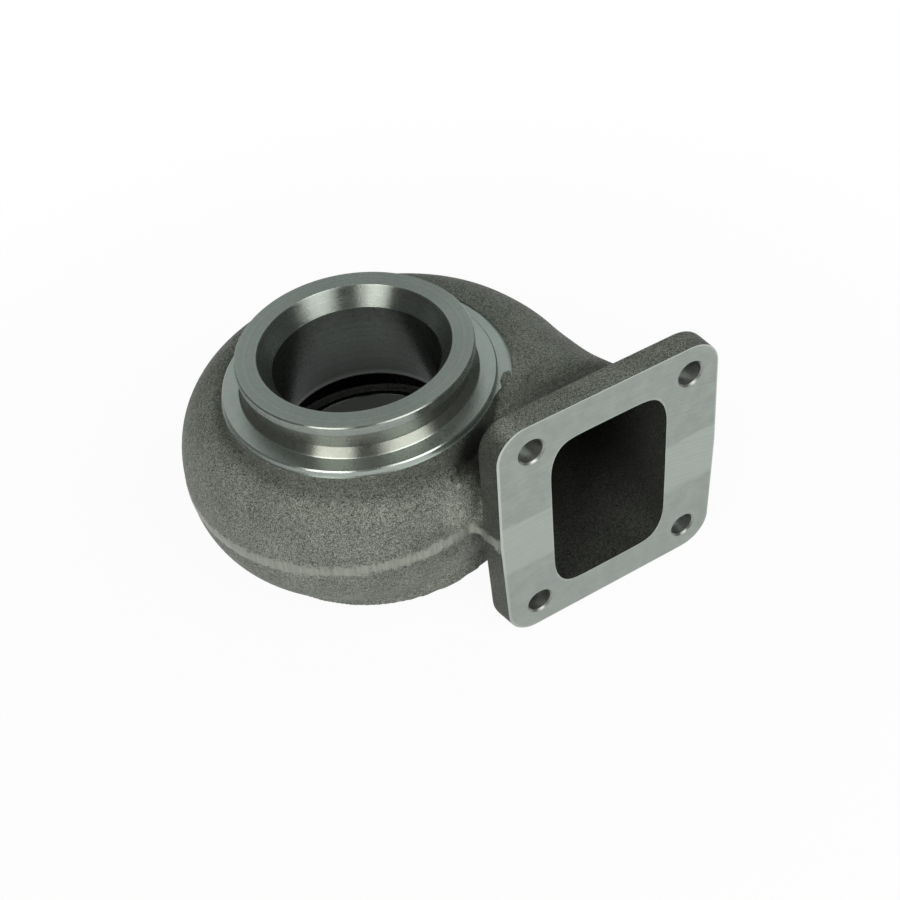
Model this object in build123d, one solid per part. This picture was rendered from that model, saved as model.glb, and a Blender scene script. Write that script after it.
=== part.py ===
from build123d import *
from math import cos, pi, radians, sin
import os

# Turbine housing of a turbocharger: one sand casting, then turned, milled and drilled.
# The turbine axis is Z. Heights are measured from the bearing-side face, which is z = 0.
# The gas inlet flange is on the +X side and faces -Y. All sizes are in millimetres.

# Discharge collar, turned
collar_height = 104.3
lip_radius = 58.4
lip_height = 4.5
lip_chamfer = 0.5
vee_slope = 20.0
groove_radius = 55.5
flare_height = 3.7
flare_radius = 59.5
shoulder_depth = 18.2
shoulder_radius = 67.9
shoulder_chamfer = 0.6
ledge_depth = 21.7
ledge_width = 6.9
cast_neck_step = 0.7
neck_draft = 0.9
neck_fillet = 7.0
neck_shelf = 0.4
neck_sink = 5.6

# Bore through the collar, and the throat that the wheel runs in
mouth_radius = 47.2
mouth_depth = 9.8
bore_radius = 41.6
throat_height = 53.7
throat_curve = 8.9
nozzle_floor = 29.3
nozzle_radius = 58.0

# Bearing side, turned and drilled
drum_radius = 76.0
drum_height = 22.0
wheel_bore_radius = 47.5
seat_radius = 52.0
seat_depth = 9.0
register_radius = 60.0
register_depth = 4.5
bore_chamfer = 0.8
clamp_circle_radius = 67.0
clamp_hole_radius = 3.4
clamp_hole_depth = 9.0
clamp_hole_count = 8

# Scroll, cast. Its outside closes in by the same amount for each degree of its turn,
# on a pattern that is slightly longer along X than along Y.
parting_height = 38.4
wall = 6.5
scroll_start_radius = 113.2
scroll_pitch = 41.0
scroll_swell = 1.2
crest_start_radius = 80.4
crest_pitch = 24.5
crown_start = 45.5
crown_pitch = 14.0
scroll_drop = 37.5
scroll_inner_reach = 20.0
passage_inner_reach = 54.0
body_end_angle = 330.0
tongue_start = 270.0
tongue_angle = 307.0
tongue_narrowing = 0.45

# Inlet flange, cast with draft both ways from the parting plane, then milled and drilled
flange_centre = 80.4
flange_offset = -1.9
flange_face = 99.5
flange_thickness = 14.0
flange_width = 127.2
flange_height = 137.0
flange_draft = 1.7
flange_corner = 16.0
flange_cast_edge = 2.5
bolt_spacing_x = 88.9
bolt_spacing_z = 104.8
bolt_hole_radius = 6.5
bolt_hole_chamfer = 0.9
port_offset = -1.8
port_width = 66.8
port_height = 98.8
port_squareness = 6.0
port_wall = 5.2
duct_squareness = 3.6
duct_flare = 2.5
duct_flare_length = 6.0

# Crotch web, which joins the scroll to the back of the flange
web_width = 27.0
web_rise = 17.0
web_drop = 6.5
web_depth = 26.0
web_squareness = 2.6

# Ground parting line
seam_height = 5.6
seam_proud = 0.35
seam_end_angle = 278.0

# Section shapes, points and stations
scroll_squareness = 2.2
round_squareness = 2.0
inner_squareness = 1.8
port_form_power = 6
inner_side_power = 0.5
section_points = 28
full_turn = 360.0
half_turn = 180.0
station_step = 22.5
flare_steps = 3
duct_steps = 5
inlet_steps = 6
section_gap = 1.0
tool_overrun = 20.0


def ease(share):
    return share * share * (3.0 - 2.0 * share)


def outer_radius(angle):
    swell = scroll_swell * cos(2 * radians(angle))
    return scroll_start_radius - scroll_pitch * angle / full_turn + swell


def crest_radius(angle):
    return crest_start_radius - crest_pitch * angle / full_turn


def crown_height(angle):
    return crown_start - crown_pitch * angle / full_turn


def turned_plane(angle):
    """Plane through the turbine axis at the parting height, X outwards and Y up."""
    out = (cos(radians(angle)), sin(radians(angle)), 0)
    return Plane(origin=(0, 0, parting_height), x_dir=out, z_dir=(out[1], -out[0], 0))


def duct_plane(distance):
    """Plane across the inlet duct, at a distance from the axis towards the flange."""
    return Plane(origin=(0, -distance, parting_height), x_dir=(1, 0, 0), z_dir=(0, -1, 0))


def egg(plane, middle, outward, inward, up, down, squareness, inner=None):
    """Closed section: a superellipse with its own reach on each of four sides."""
    points = []
    for k in range(section_points):
        turn = 2 * pi * k / section_points
        across = outward if cos(turn) >= 0 else inward
        height = up if sin(turn) >= 0 else down
        power = squareness if cos(turn) >= 0 or inner is None else inner
        x = abs(cos(turn))
        y = abs(sin(turn))
        reach = (x ** power + y ** power) ** (-1 / power)
        points.append((middle + across * reach * cos(turn), height * reach * sin(turn)))
    edge = Spline([plane.from_local_coords((x, y, 0)) for x, y in points], periodic=True)
    return Face(Wire([edge]))


def angles(start, end):
    steps = max(2, round((end - start) / station_step))
    return [start + (end - start) * k / steps for k in range(steps + 1)]


def scroll_section(angle):
    middle = crest_radius(angle)
    return egg(
        turned_plane(angle), middle, outer_radius(angle) - middle, middle - scroll_inner_reach,
        crown_height(angle), scroll_drop, scroll_squareness)


def passage_section(angle):
    middle = crest_radius(angle)
    past = max(0.0, (angle - tongue_start) / (tongue_angle - tongue_start))
    fade = 1 - tongue_narrowing * past ** 2
    return egg(
        turned_plane(angle), middle, (outer_radius(angle) - middle - wall) * fade,
        middle - passage_inner_reach, (crown_height(angle) - wall) * fade,
        (scroll_drop - wall) * fade, round_squareness, inner_squareness)


# Inlet duct. Its sections change from the scroll's round form to the port's square one.
flange_back = flange_face - flange_thickness
port_middle = flange_centre + port_offset
duct_half_height = port_height / 2 + port_wall
duct_outside = port_middle + port_width / 2 + port_wall
duct_inside = port_middle - port_width / 2 - port_wall
scroll_outside = outer_radius(0)


def duct_growth(distance):
    """Share of the way from the scroll's form to the port's, and the flare at the flange."""
    to_flange = max(0.0, flange_back - distance)
    flare = duct_flare * max(0.0, 1 - to_flange / duct_flare_length) ** 2
    return ease(min(1.0, distance / flange_back)), flare


def duct_reach(distance):
    share, flare = duct_growth(distance)
    return scroll_outside + (duct_outside - scroll_outside) * share + flare


def duct_section(distance):
    share, flare = duct_growth(distance)
    outside = duct_reach(distance)
    inside = scroll_inner_reach - flare
    inside += (duct_inside - scroll_inner_reach) * share ** inner_side_power
    middle = crest_start_radius + (port_middle - crest_start_radius) * share
    return egg(
        duct_plane(distance), middle, outside - middle, middle - inside,
        crown_start + (duct_half_height - crown_start) * share + flare,
        scroll_drop + (duct_half_height - scroll_drop) * share + flare,
        scroll_squareness + (duct_squareness - scroll_squareness) * share ** port_form_power)


def inlet_section(distance):
    share = ease(min(1.0, distance / flange_face))
    outside = scroll_outside - wall
    outside += (port_middle + port_width / 2 - outside) * share
    inside = passage_inner_reach + (port_middle - port_width / 2 - passage_inner_reach) * share
    middle = crest_start_radius + (port_middle - crest_start_radius) * share
    top = crown_start - wall
    bottom = scroll_drop - wall
    return egg(
        duct_plane(distance), middle, outside - middle, middle - inside,
        top + (port_height / 2 - top) * share, bottom + (port_height / 2 - bottom) * share,
        round_squareness + (port_squareness - round_squareness) * share ** port_form_power,
        inner_squareness + (port_squareness - inner_squareness) * share ** port_form_power)


def spaced(end, count):
    return [end * (count - k) / count for k in range(count)]


duct_stations = [flange_back + section_gap]
duct_stations += [flange_back - duct_flare_length * k / flare_steps for k in range(1, flare_steps)]
duct_stations += spaced(flange_back - duct_flare_length, duct_steps)
inlet_stations = [flange_face + section_gap] + spaced(flange_face, inlet_steps)

body_first = loft([duct_section(s) for s in duct_stations]
                  + [scroll_section(a) for a in angles(0, half_turn)])
body_second = loft([scroll_section(a) for a in angles(half_turn, body_end_angle)])
passage_first = loft([inlet_section(s) for s in inlet_stations]
                     + [passage_section(a) for a in angles(0, half_turn)])
passage_second = loft([passage_section(a) for a in angles(half_turn, tongue_angle)])


def turned(profile, rounded=(), radius=0.0):
    """Solid of revolution about Z from (radius, height) corners, some of them rounded."""
    face = make_face(Plane.XZ * Polyline(*profile, close=True))
    if rounded:
        places = [Vector(r, 0, z) for r, z in rounded]
        corners = [v for v in face.vertices() if min((v.center() - p).length for p in places) < 0.01]
        face = fillet(corners, radius)
    return revolve(face, axis=Axis.Z)


# Core of the casting: bearing-side drum, waist and discharge neck, as one turned stack
ledge_height = collar_height - ledge_depth
ledge_reach = shoulder_radius + ledge_width
shoulder_height = collar_height - shoulder_depth
cast_neck_radius = shoulder_radius + cast_neck_step
neck_foot = (cast_neck_radius + neck_draft, parting_height + crown_start - crown_pitch - neck_sink)
waist_radius = neck_foot[0] + neck_fillet + neck_shelf
neck_round = min(neck_fillet, (ledge_height - neck_foot[1]) / 2)
core = turned(
    [(0, 0), (drum_radius, 0), (drum_radius, drum_height), (waist_radius, parting_height),
     (waist_radius, neck_foot[1]), neck_foot,
     (cast_neck_radius, ledge_height), (cast_neck_radius, collar_height), (0, collar_height)],
    [neck_foot], neck_round)

# Flange plate: widest at the parting plane, where its two drafted halves meet
half_width = flange_width / 2
half_height = flange_height / 2
flange_outline = Plane.XY * Polyline(
    (half_width, 0), (half_width - flange_draft, half_height),
    (flange_draft - half_width, half_height), (-half_width, 0),
    (flange_draft - half_width, -half_height), (half_width - flange_draft, -half_height),
    close=True)
flange_sketch = make_face(flange_outline)
flange_corners = [v for v in flange_sketch.vertices() if abs(v.Y) > half_height / 2]
flange_sketch = fillet(flange_corners, flange_corner)
flange_plane = Plane(
    origin=(flange_centre + flange_offset, -flange_back, parting_height),
    x_dir=(1, 0, 0), z_dir=(0, -1, 0))
flange = extrude(flange_plane * flange_sketch, flange_thickness)
flange_back_edges = flange.faces().sort_by(Axis.Y)[-1].edges()
flange = fillet(flange_back_edges, flange_cast_edge)

# Crotch web between the scroll and the back of the flange
web_middle = flange_centre + flange_offset - half_width + flange_draft + web_width / 2
web = loft([
    egg(duct_plane(distance), web_middle + (flange_back - distance) / 2, web_width / 2,
        web_width / 2, web_rise, web_drop, web_squareness)
    for distance in (flange_back + section_gap, flange_back - web_depth / 2,
                     flange_back - web_depth)])

# Parting line, where the flash was ground off flush all the way round
seam_points = [
    duct_plane(s).from_local_coords((duct_reach(s) + seam_proud, 0, 0))
    for s in spaced(flange_back, duct_steps)]
seam_points += [
    turned_plane(a).from_local_coords((outer_radius(a) + seam_proud, 0, 0))
    for a in angles(0, seam_end_angle)]
flange_corner_place = (flange_centre + flange_offset - half_width, -flange_back, parting_height)
seam_outline = [Spline(seam_points), Polyline(seam_points[-1], flange_corner_place, seam_points[0])]
seam = extrude(make_face(seam_outline), seam_height / 2, both=True)

casting = core + body_first + body_second + flange + web + seam

# Gas passage: the port and the scroll, which opens on the wheel through the nozzle slot
casting -= passage_first + passage_second

# Turning of the discharge collar, from the ledge up
vee_rise = (lip_radius - groove_radius) * sin(radians(vee_slope)) / cos(radians(vee_slope))
lip_foot = collar_height - lip_height
casting -= turned([
    (ledge_reach, ledge_height), (shoulder_radius, ledge_height),
    (shoulder_radius, shoulder_height - shoulder_chamfer),
    (shoulder_radius - shoulder_chamfer, shoulder_height), (flare_radius, shoulder_height),
    (groove_radius, shoulder_height + flare_height), (groove_radius, lip_foot - vee_rise),
    (lip_radius, lip_foot), (lip_radius, collar_height - lip_chamfer),
    (lip_radius - lip_chamfer, collar_height), (lip_radius - lip_chamfer, collar_height + tool_overrun),
    (ledge_reach, collar_height + tool_overrun)])

# Boring: wheel bore, nozzle slot, throat curve, cylindrical bore and tapered mouth
nozzle_top = throat_height - throat_curve
throat_corner = (bore_radius, nozzle_top)
casting -= turned(
    [(0, seat_depth), (wheel_bore_radius + bore_chamfer, seat_depth),
     (wheel_bore_radius, seat_depth + bore_chamfer), (wheel_bore_radius, nozzle_floor),
     (nozzle_radius, nozzle_floor), (nozzle_radius, nozzle_top), throat_corner,
     (bore_radius, collar_height - mouth_depth), (mouth_radius, collar_height),
     (mouth_radius, collar_height + tool_overrun), (0, collar_height + tool_overrun)],
    [throat_corner], throat_curve)
casting -= turned([
    (0, -tool_overrun), (register_radius + bore_chamfer, -tool_overrun),
    (register_radius + bore_chamfer, 0), (register_radius, bore_chamfer),
    (register_radius, register_depth), (seat_radius, register_depth), (seat_radius, seat_depth),
    (0, seat_depth)])

# Milled port face and drilled bolt holes
bolt_places = [(sx * bolt_spacing_x / 2, sz * bolt_spacing_z / 2) for sx in (-1, 1) for sz in (-1, 1)]
for x, z in bolt_places:
    hole_plane = Plane(origin=(flange_centre + x, -flange_face, parting_height + z),
                       x_dir=(1, 0, 0), z_dir=(0, 1, 0))
    casting -= extrude(hole_plane * Circle(bolt_hole_radius), flange_thickness + tool_overrun)
    casting -= hole_plane * Pos(0, 0, bolt_hole_chamfer / 2) * Cone(
        bolt_hole_radius + bolt_hole_chamfer, bolt_hole_radius, bolt_hole_chamfer)

# Clamp screw holes in the bearing-side face
for k in range(clamp_hole_count):
    turn = radians(full_turn * (k + 0.5) / clamp_hole_count)
    place = (clamp_circle_radius * cos(turn), clamp_circle_radius * sin(turn), clamp_hole_depth / 2)
    casting -= Pos(*place) * Cylinder(clamp_hole_radius, clamp_hole_depth)

turbine_housing = casting
turbine_housing.label = "turbine_housing"
os.makedirs("parts", exist_ok=True)
export_step(turbine_housing, "parts/turbine_housing.step")
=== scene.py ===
import math

import bpy
import numpy as np
from mathutils import Matrix, Vector, noise
from mathutils.bvhtree import BVHTree


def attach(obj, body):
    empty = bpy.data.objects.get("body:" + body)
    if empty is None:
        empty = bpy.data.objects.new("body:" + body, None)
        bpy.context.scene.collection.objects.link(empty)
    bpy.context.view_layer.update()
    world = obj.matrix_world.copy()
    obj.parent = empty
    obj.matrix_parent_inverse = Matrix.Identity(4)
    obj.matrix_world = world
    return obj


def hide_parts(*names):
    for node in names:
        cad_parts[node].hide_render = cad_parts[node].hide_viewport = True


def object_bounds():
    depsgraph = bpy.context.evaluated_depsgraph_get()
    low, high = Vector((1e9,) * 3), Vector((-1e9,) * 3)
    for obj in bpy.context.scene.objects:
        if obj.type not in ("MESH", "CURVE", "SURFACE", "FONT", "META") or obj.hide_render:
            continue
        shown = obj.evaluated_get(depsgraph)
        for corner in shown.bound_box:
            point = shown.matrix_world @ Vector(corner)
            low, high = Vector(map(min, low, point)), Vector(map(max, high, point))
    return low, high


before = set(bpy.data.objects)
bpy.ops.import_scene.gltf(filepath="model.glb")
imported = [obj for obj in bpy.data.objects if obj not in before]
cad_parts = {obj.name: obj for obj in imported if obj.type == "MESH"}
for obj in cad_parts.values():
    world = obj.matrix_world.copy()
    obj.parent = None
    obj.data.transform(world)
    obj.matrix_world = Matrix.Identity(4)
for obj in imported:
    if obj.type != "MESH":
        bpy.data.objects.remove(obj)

cad_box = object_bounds()
bpy.ops.object.select_all(action="DESELECT")


# The rough casting. A turbine housing starts as one sand casting in heat-resistant iron,
# with machining stock on every face that will be cut. Its skin is blasted, and its inside
# corners are soft, because the sand rounds them.
def pick_up(thing):
    bpy.ops.object.select_all(action="DESELECT")
    thing.select_set(True)
    bpy.context.view_layer.objects.active = thing


def add_modifier(thing, kind, **settings):
    pick_up(thing)
    modifier = thing.modifiers.new(kind.lower(), kind)
    for name, value in settings.items():
        setattr(modifier, name, value)
    bpy.ops.object.modifier_apply(modifier=modifier.name)


def plug(radius, start, end, segments=96):
    """A cylinder from one centre to another, for stock or for a drill."""
    start, end = Vector(start), Vector(end)
    bpy.ops.mesh.primitive_cylinder_add(vertices=segments, radius=radius, depth=(end - start).length)
    cylinder = bpy.context.active_object
    turn = Vector((0, 0, 1)).rotation_difference((end - start).normalized())
    cylinder.data.transform(Matrix.Translation((start + end) / 2) @ turn.to_matrix().to_4x4())
    return cylinder


def turned(name, steps, segments=192):
    """A solid turned about Z, as a disc that is drawn up from one (radius, height) to the next."""
    radius, height = steps[0]
    bpy.ops.mesh.primitive_circle_add(vertices=segments, radius=radius, fill_type="NGON",
                                      location=(0, 0, 0))
    piece = bpy.context.active_object
    piece.name = name
    piece.data.transform(Matrix.Translation((0, 0, height)))
    bpy.ops.object.mode_set(mode="EDIT")
    bpy.ops.mesh.select_all(action="SELECT")
    for next_radius, next_height in steps[1:]:
        bpy.ops.mesh.extrude_region_move(TRANSFORM_OT_translate={"value": (0, 0, next_height - height)})
        share = next_radius / radius
        bpy.ops.transform.resize(value=(share, share, 1), center_override=(0, 0, next_height))
        radius, height = next_radius, next_height
    bpy.ops.mesh.select_all(action="SELECT")
    bpy.ops.mesh.normals_make_consistent(inside=False)
    bpy.ops.object.mode_set(mode="OBJECT")
    return piece


def cut(work, tool, operation="DIFFERENCE"):
    add_modifier(work, "BOOLEAN", object=tool, operation=operation, solver="MANIFOLD")
    bpy.data.objects.remove(tool)


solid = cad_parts["turbine_housing"]
pattern = bpy.data.objects.new("pattern", solid.data.copy())
bpy.context.scene.collection.objects.link(pattern)
pick_up(pattern)
bpy.ops.object.mode_set(mode="EDIT")
bpy.ops.mesh.select_all(action="SELECT")
bpy.ops.mesh.remove_doubles(threshold=2e-6)
bpy.ops.object.mode_set(mode="OBJECT")

flange_face = 0.0995
lip_face = 0.1043
ledge = 0.0826
parting = 0.0384
bolts_middle, half_pitch, half_rise = 0.0804, 0.04445, 0.0524
bolt_places = [(bolts_middle + x, parting + z)
               for x in (-half_pitch, half_pitch) for z in (-half_rise, half_rise)]

casting = bpy.data.objects.new("turbine_housing_casting", pattern.data.copy())
bpy.context.scene.collection.objects.link(casting)
pick_up(casting)
bpy.ops.object.mode_set(mode="EDIT")
bpy.ops.mesh.select_mode(type="FACE")
bpy.ops.mesh.select_all(action="DESELECT")
bpy.ops.object.mode_set(mode="OBJECT")
for face in casting.data.polygons:
    face.select = face.normal.y < -0.99 and face.center.y < -flange_face + 1e-4
stock_depth = 0.003
bpy.ops.object.mode_set(mode="EDIT")
bpy.ops.mesh.extrude_region_move(TRANSFORM_OT_translate={"value": (0, -stock_depth, 0)})
bpy.ops.object.mode_set(mode="OBJECT")

flange_back = 0.0862
stock = [plug(0.0710, (0, 0, ledge + stock_depth), (0, 0, lip_face + stock_depth)),
         plug(0.0560, (0, 0, 0.008), (0, 0, 0.064)),
         plug(0.0470, (0, 0, 0.060), (0, 0, ledge + 0.004)),
         plug(0.0640, (0, 0, -0.004), (0, 0, 0.0125))]
stock += [plug(0.0095, (x, -flange_face - stock_depth, z), (x, -flange_back, z), segments=32)
          for x, z in bolt_places]
pick_up(casting)
for thing in stock:
    thing.select_set(True)
bpy.ops.object.join()
casting.data.remesh_voxel_size = 0.00162
bpy.ops.object.voxel_remesh()

# The gap between the neck and the back of the flange, where the mould had a thin tongue of sand
gap_radius, gap_floor, gap_roof, neck_radius = 0.0768, 0.0645, 0.0822, 0.0687
gap = turned("gap", [(gap_radius, gap_floor), (gap_radius, gap_roof)])
cut(gap, turned("neck", [(neck_radius, 0.04), (neck_radius, 0.09)]))
bpy.ops.mesh.primitive_cube_add(size=0.06)
keep = bpy.context.active_object
keep.data.transform(Matrix.Translation((0.0425, -0.0860, 0.07)))
cut(gap, keep, "INTERSECT")
cut(casting, gap)
pick_up(casting)
bpy.ops.object.voxel_remesh()
add_modifier(casting, "SMOOTH", factor=0.5, iterations=4)

# The inner shoulder of the duct rolls down before the flange, where the turned ledge runs out
shoulder, shoulder_reach, shoulder_drop = Vector((0.0580, -0.0500, 0.0850)), 0.0170, 0.0038
for corner in casting.data.vertices:
    near = 1 - (corner.co - shoulder).length / shoulder_reach
    if near > 0 and corner.co.z > 0.075:
        corner.co.z -= shoulder_drop * near * near * (3 - 2 * near)

# The flange's inner side has more draft than the others
side_end, side_start = 0.035, 0.080
for corner in casting.data.vertices:
    if corner.co.y < -side_start and corner.co.x < side_end:
        deep = min(1, max(0, (-corner.co.y - 0.0865) / 0.013))
        beside = min(1, max(0, (side_end - corner.co.x) / 0.012))
        behind = min(1, (-corner.co.y - side_start) / 0.006)
        corner.co.x += (0.0022 * deep - 0.0008) * beside * behind


def corners_of(thing):
    places = np.empty(len(thing.data.vertices) * 3)
    thing.data.vertices.foreach_get("co", places)
    return places.reshape(-1, 3)


def spread(values, ends, count, times):
    """Evens out a value over the corners of a mesh, along its edges."""
    for _ in range(times):
        total = np.bincount(ends[:, 0], values[ends[:, 1]], len(values))
        total += np.bincount(ends[:, 1], values[ends[:, 0]], len(values))
        values = 0.5 * values + 0.5 * total / count
    return values


# Sand can't hold a sharp inside corner, so the tightest inside corners fill in a little
ends = np.array([edge.vertices[:] for edge in casting.data.edges])
count = np.maximum(np.bincount(ends.ravel(), minlength=len(casting.data.vertices)), 1)
before = corners_of(casting)
outward = np.array([normal.vector[:] for normal in casting.data.vertex_normals])
add_modifier(casting, "SMOOTH", factor=0.5, iterations=10)
moved = corners_of(casting) - before
filled = spread((moved * outward).sum(1), ends, count, 3)
share = np.clip(filled / 0.00030 - 1.2, 0, 1)[:, None]
casting.data.vertices.foreach_set("co", (before + share * moved).ravel())
casting.data.update()
add_modifier(casting, "SMOOTH", factor=0.5, iterations=2)
add_modifier(casting, "DISPLACE", strength=0.00020, mid_level=0.0)

# A scab of burnt-on sand in the crotch, which the blasting left
scab, scab_reach, scab_height = Vector((0.0095, -0.0725, 0.0672)), 0.0062, 0.0026
for corner in casting.data.vertices:
    near = 1 - (corner.co - scab).length / scab_reach
    if near > 0:
        lump = Vector((-0.2, -0.8, 0.5)) * scab_height
        corner.co += lump * min(1, 2 * near) * noise.noise(corner.co * 420)

# Turning, boring, milling and drilling. The casting is held in a lathe for the collar and
# the bearing side, milled across the flange, and drilled last.
top, below = lip_face + 0.02, -0.02
shoulder_radius, flare_foot = 0.0748, 0.0861
collar = turned("collar", [
    (0.0679, ledge - 0.02), (0.0679, 0.0855), (0.0673, flare_foot), (0.0595, flare_foot),
    (0.0555, 0.0898), (0.0555, 0.09874), (0.0584, 0.0998), (0.0584, 0.1038),
    (0.0579, lip_face), (0.0579, top + 0.01)])
waste = turned("waste", [(shoulder_radius, ledge), (shoulder_radius, top)])
cut(waste, collar)
cut(casting, waste)
cut(casting, turned("facing", [(0.0700, lip_face), (0.0700, top)]))

throat_radius, throat_round, throat_foot = 0.0416, 0.0089, 0.0448
throat = [(throat_radius + throat_round * (1 - math.sin(t)), throat_foot + throat_round * (1 - math.cos(t)))
          for t in [math.radians(7.5 * k) for k in range(13)]]
nozzle_radius, nozzle_foot, wheel_radius, mouth_radius = 0.0580, 0.0293, 0.0475, 0.0476
bore = turned("bore", [
    (0.0483, 0.009), (wheel_radius, 0.0098), (wheel_radius, 0.0289), (0.0479, nozzle_foot),
    (nozzle_radius, nozzle_foot), (nozzle_radius, throat_foot), *throat,
    (throat_radius, 0.0945), (0.0472, lip_face - 0.0004), (mouth_radius, lip_face), (mouth_radius, top)])
cut(casting, bore)

# The facing stops short of the duct, which hangs below the bearing face on one side
facing = turned("bearing_facing", [(0.0775, below), (0.0775, 0.0)])
guard = turned("guard", [(0.0950, -0.03), (0.0950, 0.01)])
cut(guard, turned("inside", [(0.0645, -0.04), (0.0645, 0.02)]))
bpy.ops.mesh.primitive_cube_add(size=1)
sector = bpy.context.active_object
sector.data.transform(Matrix.Rotation(math.radians(-29), 4, "Z") @ Matrix.Translation((0.08, 0, 0))
                      @ Matrix.Diagonal((0.06, 0.0524, 0.2, 1)))
cut(guard, sector, "INTERSECT")
cut(facing, guard)
cut(casting, facing)
register_radius, seat_radius, seat_depth = 0.0600, 0.0520, 0.0045
cut(casting, turned("register", [
    (0.0608, below), (0.0608, 0.0), (register_radius, 0.0008), (register_radius, seat_depth),
    (seat_radius, seat_depth), (seat_radius, 0.0095)]))

mill_size = 0.2
bpy.ops.mesh.primitive_cube_add(size=mill_size)
mill = bpy.context.active_object
mill.data.transform(Matrix.Translation((0.0785, -flange_face - mill_size / 2, parting)))
cut(casting, mill)
bolt_hole, bolt_chamfer = 0.0065, 0.0080
for x, z in bolt_places:
    cut(casting, plug(bolt_hole, (x, -0.12, z), (x, -0.07, z), segments=48))
    drill = turned("countersink", [(bolt_chamfer, 0.0), (bolt_hole, 0.0015)], 48)
    drill.data.transform(Matrix.Translation((x, -flange_face - 0.0006, z))
                         @ Matrix.Rotation(-math.pi / 2, 4, "X"))
    cut(casting, drill)
clamp_circle, clamp_hole, clamp_depth = 0.067, 0.0034, 0.009
for k in range(8):
    turn = math.radians(22.5 + 45 * k)
    x, y = clamp_circle * math.cos(turn), clamp_circle * math.sin(turn)
    cut(casting, plug(clamp_hole, (x, y, -0.01), (x, y, clamp_depth), segments=32))

pick_up(casting)
bpy.ops.mesh.customdata_custom_splitnormals_clear()
bpy.ops.object.shade_smooth_by_angle(angle=math.radians(25))


# Finishes. A face on a machined surface is lathe-turned, milled or drilled, by its place and
# normal. Any other face is cast skin, outside or in the gas passage, whichever lies nearest
# on the pattern.
def finish_at(place, normal):
    radius = math.hypot(place.x, place.y)
    if place.y < -flange_face + 2e-4 and normal.y < -0.9:
        return "milled"
    if place.y < -0.084 and any(math.hypot(place.x - x, place.z - z) < 0.0078 for x, z in bolt_places):
        return "drilled"
    if radius < 0.0752 and place.z > ledge - 1e-4 and (radius < 0.0746 or abs(normal.z) < 0.5):
        return "turned"
    if radius < 0.0582 and 0.0085 < place.z < 0.0945:
        return "turned" if radius < 0.0578 else "passage"
    if abs(radius - clamp_circle) < 0.004 and 1e-4 < place.z < 0.0095:
        return "drilled"
    if radius < 0.0612 and place.z < 0.0096 or radius < 0.077 and abs(place.z) < 3e-4 and normal.z < -0.9:
        return "turned"
    return "cast"


# The passage is the cast skin that can be walked to from one place on the duct's floor
drawn = [finish_at(face.center, face.normal) for face in pattern.data.polygons]
neighbours = {}
for face in pattern.data.polygons:
    for rim in face.edge_keys:
        neighbours.setdefault(rim, []).append(face.index)
port_middle = 0.0786
duct_floor = Vector((port_middle, -0.04, 0.008))
seed = min(pattern.data.polygons, key=lambda face: (face.center - duct_floor).length)
inside, ahead = {seed.index}, [seed.index]
while ahead:
    for rim in pattern.data.polygons[ahead.pop()].edge_keys:
        for other in neighbours[rim]:
            if other not in inside and drawn[other] == "cast":
                inside.add(other)
                ahead.append(other)
for i in inside:
    drawn[i] = "passage"
tree = BVHTree.FromPolygons([corner.co for corner in pattern.data.vertices],
                            [tuple(face.vertices) for face in pattern.data.polygons])
bpy.data.objects.remove(pattern)


def start_material(name):
    material = bpy.data.materials.new(name)
    material.use_nodes = True
    material.node_tree.nodes.clear()
    return material, material.node_tree


def put(tree, kind, **settings):
    """A node with its sockets and settings: a tuple (node, socket) makes a link."""
    node = tree.nodes.new(kind)
    for name, value in settings.items():
        if hasattr(node, name) and name not in node.inputs:
            setattr(node, name, value)
            continue
        numbered = name.startswith("in") and name[2:].isdigit()
        socket = node.inputs[int(name[2:]) if numbered else name.replace("__", " ")]
        if isinstance(value, tuple) and len(value) == 2 and hasattr(value[0], "outputs"):
            tree.links.new(value[0].outputs[value[1]], socket)
        else:
            socket.default_value = value
    return node


def start_group(name, inputs, outputs):
    group = bpy.data.node_groups.new(name, "ShaderNodeTree")
    for socket, value in inputs.items():
        made = group.interface.new_socket(socket, in_out="INPUT", socket_type="NodeSocketFloat")
        made.default_value = value
    for socket in outputs:
        group.interface.new_socket(socket, in_out="OUTPUT", socket_type="NodeSocketFloat")
    return group, put(group, "NodeGroupInput"), put(group, "NodeGroupOutput")


def maths(tree, operation, a, b=0.0):
    return put(tree, "ShaderNodeMath", operation=operation, in0=a, in1=b), 0


def plus(tree, a, b):
    return maths(tree, "ADD", a, b)


def times(tree, value, *others):
    for other in others:
        value = maths(tree, "MULTIPLY", value, other)
    return value


def reach_of(tree, a, b):
    """The distance from an axis, from the two measures across it."""
    return maths(tree, "SQRT", plus(tree, times(tree, a, a), times(tree, b, b)))


def distance(tree, where, place):
    return put(tree, "ShaderNodeVectorMath", operation="DISTANCE", in0=where, in1=place), "Value"


def grains_at(tree, where, scale, detail=2.0, roughness=0.5):
    return put(tree, "ShaderNodeTexNoise", Vector=where, Scale=scale, Detail=detail,
               Roughness=roughness), 0


def lines_at(tree, along, scale, detail):
    return put(tree, "ShaderNodeTexNoise", noise_dimensions="1D", W=along, Scale=scale,
               Detail=detail, Roughness=0.6), 0


def between(tree, value, low, high, to_low=0.0, to_high=1.0):
    return put(tree, "ShaderNodeMapRange", Value=value, From__Min=low, From__Max=high,
               To__Min=to_low, To__Max=to_high), 0


def blend(tree, factor, a, b):
    """Mixes two colours, each a plain colour or a link."""
    node = put(tree, "ShaderNodeMix", data_type="RGBA")
    for socket, value in ((node.inputs[0], factor), (node.inputs[6], a), (node.inputs[7], b)):
        if isinstance(value, tuple) and len(value) == 2:
            tree.links.new(value[0].outputs[value[1]], socket)
        else:
            socket.default_value = (*value, 1) if isinstance(value, tuple) else value
    return node, 2


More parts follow.
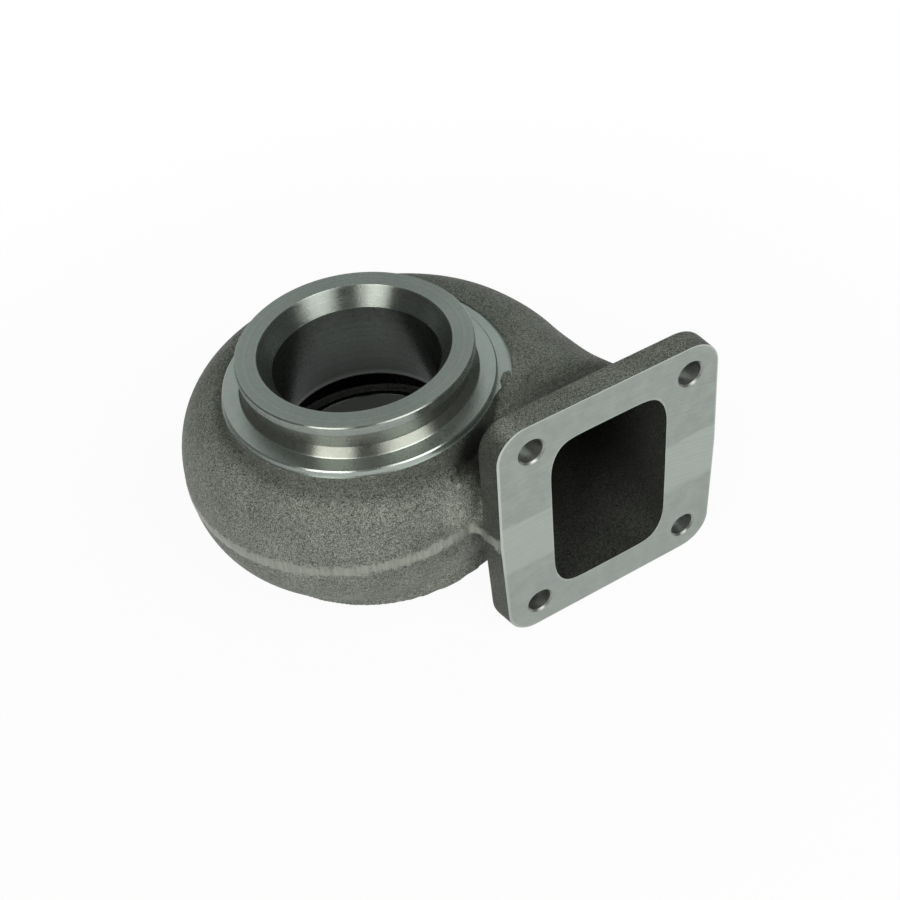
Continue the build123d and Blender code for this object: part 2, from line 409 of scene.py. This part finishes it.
def finish_material(material, **settings):
    tree = material.node_tree
    shader = put(tree, "ShaderNodeBsdfPrincipled", **settings)
    put(tree, "ShaderNodeOutputMaterial", Surface=(shader, 0))
    materials[material.name] = material


# Blasted sand skin: sand grains of about a millimetre, open pits and slow swells
materials = {}
skin, sockets, result = start_group("blasted_skin", {"Grain": 1.0, "Pits": 1.0, "Swell": 1.0},
                                    ["Height", "Shade", "Fleck", "Patch"])
where = put(skin, "ShaderNodeTexCoord"), "Object"
grain = grains_at(skin, where, 2000.0, 3.0, 0.7)
clump = grains_at(skin, where, 700.0, 3.0, 0.6)
swell = grains_at(skin, where, 70.0, 2.0, 0.5)
cells = put(skin, "ShaderNodeTexVoronoi", Vector=where, Scale=900.0), 0
pits = between(skin, cells, 0.10, 0.34)
both = plus(skin, times(skin, grain, 0.74), times(skin, clump, 0.26))
shade = times(skin, between(skin, both, 0.40, 0.60), between(skin, pits, 0.0, 1.0, 0.55, 1.0))
total = times(skin, both, times(skin, (sockets, "Grain"), 2.2))
total = plus(skin, total, times(skin, pits, times(skin, (sockets, "Pits"), 0.5)))
total = plus(skin, total, times(skin, swell, times(skin, (sockets, "Swell"), 3.0)))
fleck = between(skin, grains_at(skin, where, 2100.0, 2.0, 0.8), 0.58, 0.66)
patch = between(skin, grains_at(skin, where, 42.0, 3.0, 0.6), 0.38, 0.66)
for socket, value in (("Height", total), ("Shade", shade), ("Fleck", fleck), ("Patch", patch)):
    skin.links.new(value[0].outputs[value[1]], result.inputs[socket])

# Cast skin outside: grey iron with paler patches, sandy flecks and the ground parting line
cast, nodes = start_material("cast")
grains = put(nodes, "ShaderNodeGroup", node_tree=skin, Grain=1.0, Pits=1.0, Swell=1.0)
where = put(nodes, "ShaderNodeTexCoord"), "Object"
xyz = put(nodes, "ShaderNodeSeparateXYZ", in0=where)
x, y, z = (xyz, 0), (xyz, 1), (xyz, 2)
ragged = plus(nodes, times(nodes, grains_at(nodes, where, 480.0, 4.0, 0.8), 0.0160),
              times(nodes, grains_at(nodes, where, 60.0, 2.0, 0.5), 0.0035))
away = maths(nodes, "ABSOLUTE", maths(nodes, "SUBTRACT", z, parting))
away = plus(nodes, away, maths(nodes, "SUBTRACT", ragged, 0.00975))
ground = between(nodes, away, 0.0036, 0.0033)
colour = blend(nodes, (grains, "Shade"), (0.006, 0.008, 0.006), (0.292, 0.324, 0.282))
paler = blend(nodes, (grains, "Shade"), (0.016, 0.019, 0.016), (0.390, 0.430, 0.374))
colour = blend(nodes, (grains, "Patch"), colour, paler)
colour = blend(nodes, times(nodes, (grains, "Fleck"), 0.7), colour, (0.62, 0.64, 0.57))
# Painted shade: the cast colour is darkened round the neck, in the gap, on the flange's inner side and in the
# valley behind the flange, where shade falls
neck = times(nodes, between(nodes, reach_of(nodes, x, y), 0.0755, 0.0705),
             between(nodes, z, 0.0600, 0.0680, 0.0, 0.36))
# Painted shade on the flange's inner side
side = times(nodes, between(nodes, x, 0.0260, 0.0205), between(nodes, y, -0.0800, -0.0860, 0.0, 0.68))
valley_painted_shade = times(nodes, between(nodes, y, -0.0600, -0.0680, 0.0, 0.45),
               between(nodes, y, -0.0850, -0.0835), between(nodes, z, 0.0770, 0.0810))
hollow_painted_shade = between(nodes, distance(nodes, where, (0.0290, -0.0690, 0.0720)), 0.0190, 0.0100, 0.0, 0.85)
painted_shade = maths(nodes, "MAXIMUM", maths(nodes, "MAXIMUM", neck, side), maths(nodes, "MAXIMUM", valley_painted_shade, hollow_painted_shade))
# Painted light: the crotch under the flange is painted pale, a pool of light laid into the colour
crotch = between(nodes, distance(nodes, where, (0.0120, -0.0780, 0.0520)), 0.0170, 0.0060, 0.0, 0.7)
painted_light_colour = blend(nodes, (grains, "Shade"), (0.05, 0.055, 0.05), (0.80, 0.86, 0.76))
colour = blend(nodes, crotch, colour, painted_light_colour)
# Painted shade laid over the cast colour
colour = blend(nodes, painted_shade, colour, (0.010, 0.011, 0.009))
# The grinding wheel leaves upright scratches in the parting line
streak = put(nodes, "ShaderNodeMapping", Vector=where, Scale=(1, 1, 0.04))
marks = grains_at(nodes, (streak, 0), 900.0, 3.0, 0.6)
stone = blend(nodes, between(nodes, marks, 0.35, 0.65), (0.235, 0.252, 0.215), (0.320, 0.340, 0.298))
colour = blend(nodes, ground, colour, stone)
rough = put(nodes, "ShaderNodeMix", in0=ground, in2=0.56, in3=0.42), 0
sandy = times(nodes, maths(nodes, "SUBTRACT", 1.0, ground), (grains, "Height"))
scratched = times(nodes, ground, plus(nodes, times(nodes, marks, 0.4), 2.6))
bump = put(nodes, "ShaderNodeBump", Height=plus(nodes, sandy, scratched), Distance=0.00030, Strength=1.0)
finish_material(cast, Base__Color=colour, Metallic=0.45, Roughness=rough, Normal=(bump, 0))

# Cast skin in the gas passage: rougher, and darker, partly for core scale and partly as painted shade for the
# dim inside, and painted black deeper in, where the gas turns into the scroll
passage, nodes = start_material("passage")
grains = put(nodes, "ShaderNodeGroup", node_tree=skin, Grain=1.3, Pits=1.2, Swell=1.0)
xyz = put(nodes, "ShaderNodeSeparateXYZ", in0=(put(nodes, "ShaderNodeTexCoord"), "Object"))
colour = blend(nodes, (grains, "Shade"), (0.004, 0.005, 0.004), (0.075, 0.083, 0.074))
colour = blend(nodes, times(nodes, (grains, "Fleck"), 0.45), colour, (0.17, 0.175, 0.16))
# Painted shade: darker towards the inside, away from the flange's face
deep = between(nodes, (xyz, 1), -0.0880, -0.0550, 0.0, 0.6)
colour = blend(nodes, deep, colour, (0.003, 0.003, 0.003))
bump = put(nodes, "ShaderNodeBump", Height=(grains, "Height"), Distance=0.00035, Strength=0.9)
finish_material(passage, Base__Color=colour, Metallic=0.3, Roughness=0.65, Specular__IOR__Level=0.2,
                Normal=(bump, 0))

# Lathe marks run round the turbine axis, at one feed to a turn on every face
turning, nodes = start_material("turned")
where = put(nodes, "ShaderNodeTexCoord"), "Object"
xyz = put(nodes, "ShaderNodeSeparateXYZ", in0=where)
z, reach = (xyz, 2), reach_of(nodes, (xyz, 0), (xyz, 1))
along = plus(nodes, reach, z)
feed = lines_at(nodes, along, 3500.0, 2.0)
bands = lines_at(nodes, along, 420.0, 3.0)
mottle = grains_at(nodes, where, 260.0, 4.0, 0.6)
colour = blend(nodes, between(nodes, mottle, 0.35, 0.65), (0.270, 0.302, 0.281), (0.315, 0.353, 0.328))
colour = blend(nodes, between(nodes, bands, 0.35, 0.65, 0.0, 0.35), colour, (0.190, 0.218, 0.203))
# Painted shade: the bore is painted dark, and darker with depth
inner = maths(nodes, "LESS_THAN", reach, 0.0505)
outer = maths(nodes, "GREATER_THAN", reach, 0.0540)
depth = times(nodes, between(nodes, z, 0.0946, 0.0940), between(nodes, z, 0.080, 0.052, 0.70, 0.95))
colour = blend(nodes, times(nodes, inner, depth), colour, (0.012, 0.014, 0.012))
# Painted shade and highlight: the mouth's taper is painted darker than the lip and the groove a dim brownish
# grey, standing in for their dim reflections, and the shoulder is painted bright as a painted highlight
taper_painted_shade = times(nodes, inner, 0.42, between(nodes, z, 0.0945, 0.0947), maths(nodes, "LESS_THAN", reach, 0.0473))
colour = blend(nodes, taper_painted_shade, colour, (0.05, 0.055, 0.05))
# Painted shade: the groove and flare are painted a dim brownish grey in place of dim reflections
groove_painted_shade = times(nodes, outer, between(nodes, z, 0.0995, 0.0990), 0.5, between(nodes, z, 0.0862, 0.0866))
colour = blend(nodes, groove_painted_shade, colour, (0.155, 0.155, 0.125))
# Painted highlight: the shoulder is painted bright
shoulder_painted_highlight = times(nodes, between(nodes, z, 0.0866, 0.0862), outer, 0.6)
colour = blend(nodes, shoulder_painted_highlight, colour, (0.47, 0.52, 0.49))
rough = between(nodes, mottle, 0.3, 0.7, 0.25, 0.32)
height = plus(nodes, feed, times(nodes, bands, 1.5))
bump = put(nodes, "ShaderNodeBump", Height=height, Distance=0.00004, Strength=0.8)
tangent = put(nodes, "ShaderNodeTangent", direction_type="RADIAL", axis="Z")
finish_material(turning, Base__Color=colour, Metallic=0.88, Roughness=rough, Anisotropic=0.85,
                Anisotropic__Rotation=0.25, Tangent=(tangent, 0), Normal=(bump, 0))

# The flange was milled with a wide fly cutter, in passes that overlap at a slant
milling, nodes = start_material("milled")
where = put(nodes, "ShaderNodeTexCoord"), "Object"
plain = put(nodes, "ShaderNodeSeparateXYZ", in0=where)
moved = put(nodes, "ShaderNodeMapping", Vector=where, Location=(-0.04, 0, 0.30))
xyz = put(nodes, "ShaderNodeSeparateXYZ", in0=(moved, 0))
arcs = lines_at(nodes, reach_of(nodes, (xyz, 0), (xyz, 2)), 1500.0, 3.0)
mottle = grains_at(nodes, where, 120.0, 4.0, 0.6)
colour = blend(nodes, between(nodes, mottle, 0.35, 0.65), (0.300, 0.336, 0.314), (0.350, 0.392, 0.366))
level = plus(nodes, (plain, 2), times(nodes, grains_at(nodes, where, 40.0, 2.0, 0.5), 0.004))
middle_pass = times(nodes, between(nodes, level, 0.0180, 0.0215), between(nodes, level, 0.0525, 0.0512), 0.7)
colour = blend(nodes, middle_pass, colour, (0.44, 0.49, 0.46))
colour = blend(nodes, between(nodes, arcs, 0.40, 0.62, 0.0, 0.4), colour, (0.23, 0.262, 0.246))


def off(axis, middle):
    return maths(nodes, "ABSOLUTE", maths(nodes, "SUBTRACT", (plain, axis), middle))


def past(value, limit):
    return maths(nodes, "MAXIMUM", maths(nodes, "SUBTRACT", value, limit), 0.0)


# Painted highlight: a bright line is painted round the outline and round the port, standing in for light
# caught by the cut edges
side_draft = 0.0017 / 0.0685
corner_middle_x, corner_middle_z = 0.0465, 0.0525
above = off(2, parting)
across = plus(nodes, off(0, 0.0796), times(nodes, above, side_draft))
corner = [maths(nodes, "POWER", past(value, limit), 2.0)
          for value, limit in ((across, corner_middle_x), (above, corner_middle_z))]
edge_painted_highlight = between(nodes, maths(nodes, "SQRT", plus(nodes, *corner)), 0.0154, 0.0158)
edge_painted_highlight = times(nodes, edge_painted_highlight, between(nodes, (plain, 2), 0.02, 0.06, 0.35, 0.75))
port_width, port_height = 0.0334, 0.0494
port = [maths(nodes, "POWER", maths(nodes, "DIVIDE", off(axis, middle), half), 6.0)
        for axis, middle, half in ((0, port_middle, port_width), (2, parting, port_height))]
# Painted highlight round the port, fainter
rim = times(nodes, between(nodes, plus(nodes, *port), 1.08, 1.03), 0.3)
colour = blend(nodes, maths(nodes, "MAXIMUM", edge_painted_highlight, rim), colour, (0.56, 0.61, 0.58))
bump = put(nodes, "ShaderNodeBump", Height=arcs, Distance=0.00004, Strength=0.8)
finish_material(milling, Base__Color=colour, Metallic=0.6, Roughness=0.42, Normal=(bump, 0))

# Drilled holes: fresh iron, a little torn
drilling, nodes = start_material("drilled")
where = put(nodes, "ShaderNodeTexCoord"), "Object"
mottle = grains_at(nodes, where, 300.0, 3.0, 0.6)
colour = blend(nodes, between(nodes, mottle, 0.35, 0.65), (0.22, 0.235, 0.22), (0.33, 0.345, 0.33))
bump = put(nodes, "ShaderNodeBump", Height=mottle, Distance=0.00006, Strength=0.8)
finish_material(drilling, Base__Color=colour, Metallic=0.85, Roughness=0.36, Normal=(bump, 0))

casting.data.materials.clear()
finishes = ["cast", "passage", "turned", "milled", "drilled"]
for name in finishes:
    casting.data.materials.append(materials[name])
index = np.zeros(len(casting.data.polygons), np.int32)
corners = casting.data.vertices
for i, face in enumerate(casting.data.polygons):
    a, b, c = (corners[k].co for k in face.vertices[:3])
    place = a * 0.3 + b * 0.4 + c * 0.3
    finish = finish_at(place, face.normal)
    if finish == "cast" and drawn[tree.find_nearest(place)[2]] == "passage":
        finish = "passage"
    index[i] = finishes.index(finish)
casting.data.polygons.foreach_set("material_index", index)

# A cutter leaves a crisp edge wherever it meets the cast skin
meeting = {}
for face in casting.data.polygons:
    for rim in face.edge_keys:
        meeting.setdefault(rim, set()).add(index[face.index])
for edge in casting.data.edges:
    if len(meeting[edge.key]) > 1:
        edge.use_edge_sharp = True
casting.data.update()

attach(casting, "root")
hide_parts("turbine_housing")


# Studio. The housing stands on a pale table, seen from above its discharge side, with one
# soft lamp on each side of the camera and a cool weak one behind.
swing, tilt, roll = math.radians(-25.32), math.radians(44.01), math.radians(-7.32)
back = Vector((math.sin(swing) * math.cos(tilt), -math.cos(swing) * math.cos(tilt), math.sin(tilt)))
right = Vector((math.cos(swing), math.sin(swing), 0))
up = back.cross(right)
across = math.cos(roll) * right + math.sin(roll) * up
upwards = math.cos(roll) * up - math.sin(roll) * right
bpy.ops.object.camera_add(location=(-0.17975, -0.45891, 0.50406))
camera = bpy.context.active_object
camera.rotation_euler = Matrix((across, upwards, back)).transposed().to_euler()
camera.data.sensor_width = 36.0
camera.data.lens = 52.57
camera.data.shift_x = 0.0134
camera.data.shift_y = -0.0027
camera.data.clip_start = 0.01
bpy.context.scene.camera = camera


def lamp(name, azimuth, elevation, distance, width, height, power, tint):
    azimuth, elevation = math.radians(azimuth), math.radians(elevation)
    away = Vector((math.cos(azimuth) * math.cos(elevation), math.sin(azimuth) * math.cos(elevation),
                   math.sin(elevation)))
    bpy.ops.object.light_add(type="AREA", location=Vector((0.02, 0, 0.05)) + away * distance)
    light = bpy.context.active_object
    light.name = name
    light.rotation_euler = away.to_track_quat("Z", "Y").to_euler()
    light.data.shape = "RECTANGLE"
    light.data.size = width
    light.data.size_y = height
    light.data.energy = power
    light.data.color = tint


lamp("right_softbox", -78, 38, 1.2, 0.66, 1.10, 9.2, (1.0, 0.98, 0.94))
lamp("left_softbox", -149, 34, 1.2, 0.56, 0.80, 7.2, (1.0, 0.97, 0.91))
lamp("back_softbox", 66, 46, 1.4, 1.4, 0.9, 2.6, (0.93, 1.0, 0.97))

table_gap = 0.0002
bpy.ops.mesh.primitive_plane_add(size=6, location=(0, 0, cad_box[0][2] - table_gap))
table = bpy.context.active_object
table.name = "table"
white, nodes = start_material("table_white")
rays = put(nodes, "ShaderNodeLightPath")
seen = put(nodes, "ShaderNodeMath", operation="ADD", use_clamp=True,
           in0=(rays, "Is Camera Ray"), in1=(rays, "Is Glossy Ray"))
spot = put(nodes, "ShaderNodeTexCoord")
far = put(nodes, "ShaderNodeVectorMath", operation="LENGTH", in0=(spot, "Object"))
clear = between(nodes, (far, "Value"), 0.15, 0.5, 0.95, 1.0)
diffuse = put(nodes, "ShaderNodeBsdfDiffuse", Color=(0.65, 0.65, 0.65, 1))
glow = put(nodes, "ShaderNodeEmission", Color=(1, 1, 1, 1), Strength=1.0)
mix = put(nodes, "ShaderNodeMixShader", Fac=times(nodes, (seen, 0), clear), in1=(diffuse, 0), in2=(glow, 0))
put(nodes, "ShaderNodeOutputMaterial", Surface=(mix, 0))
table.data.materials.append(white)

world = bpy.data.worlds.new("studio")
bpy.context.scene.world = world
world.use_nodes = True
nodes = world.node_tree
nodes.nodes.clear()
rays = put(nodes, "ShaderNodeLightPath")
strength = between(nodes, (rays, "Is Camera Ray"), 0.0, 1.0, 0.09, 1.0)
sky = put(nodes, "ShaderNodeBackground", Color=(1, 1, 1, 1), Strength=strength)
put(nodes, "ShaderNodeOutputWorld", Surface=(sky, 0))
bpy.context.scene.view_settings.view_transform = "Standard"
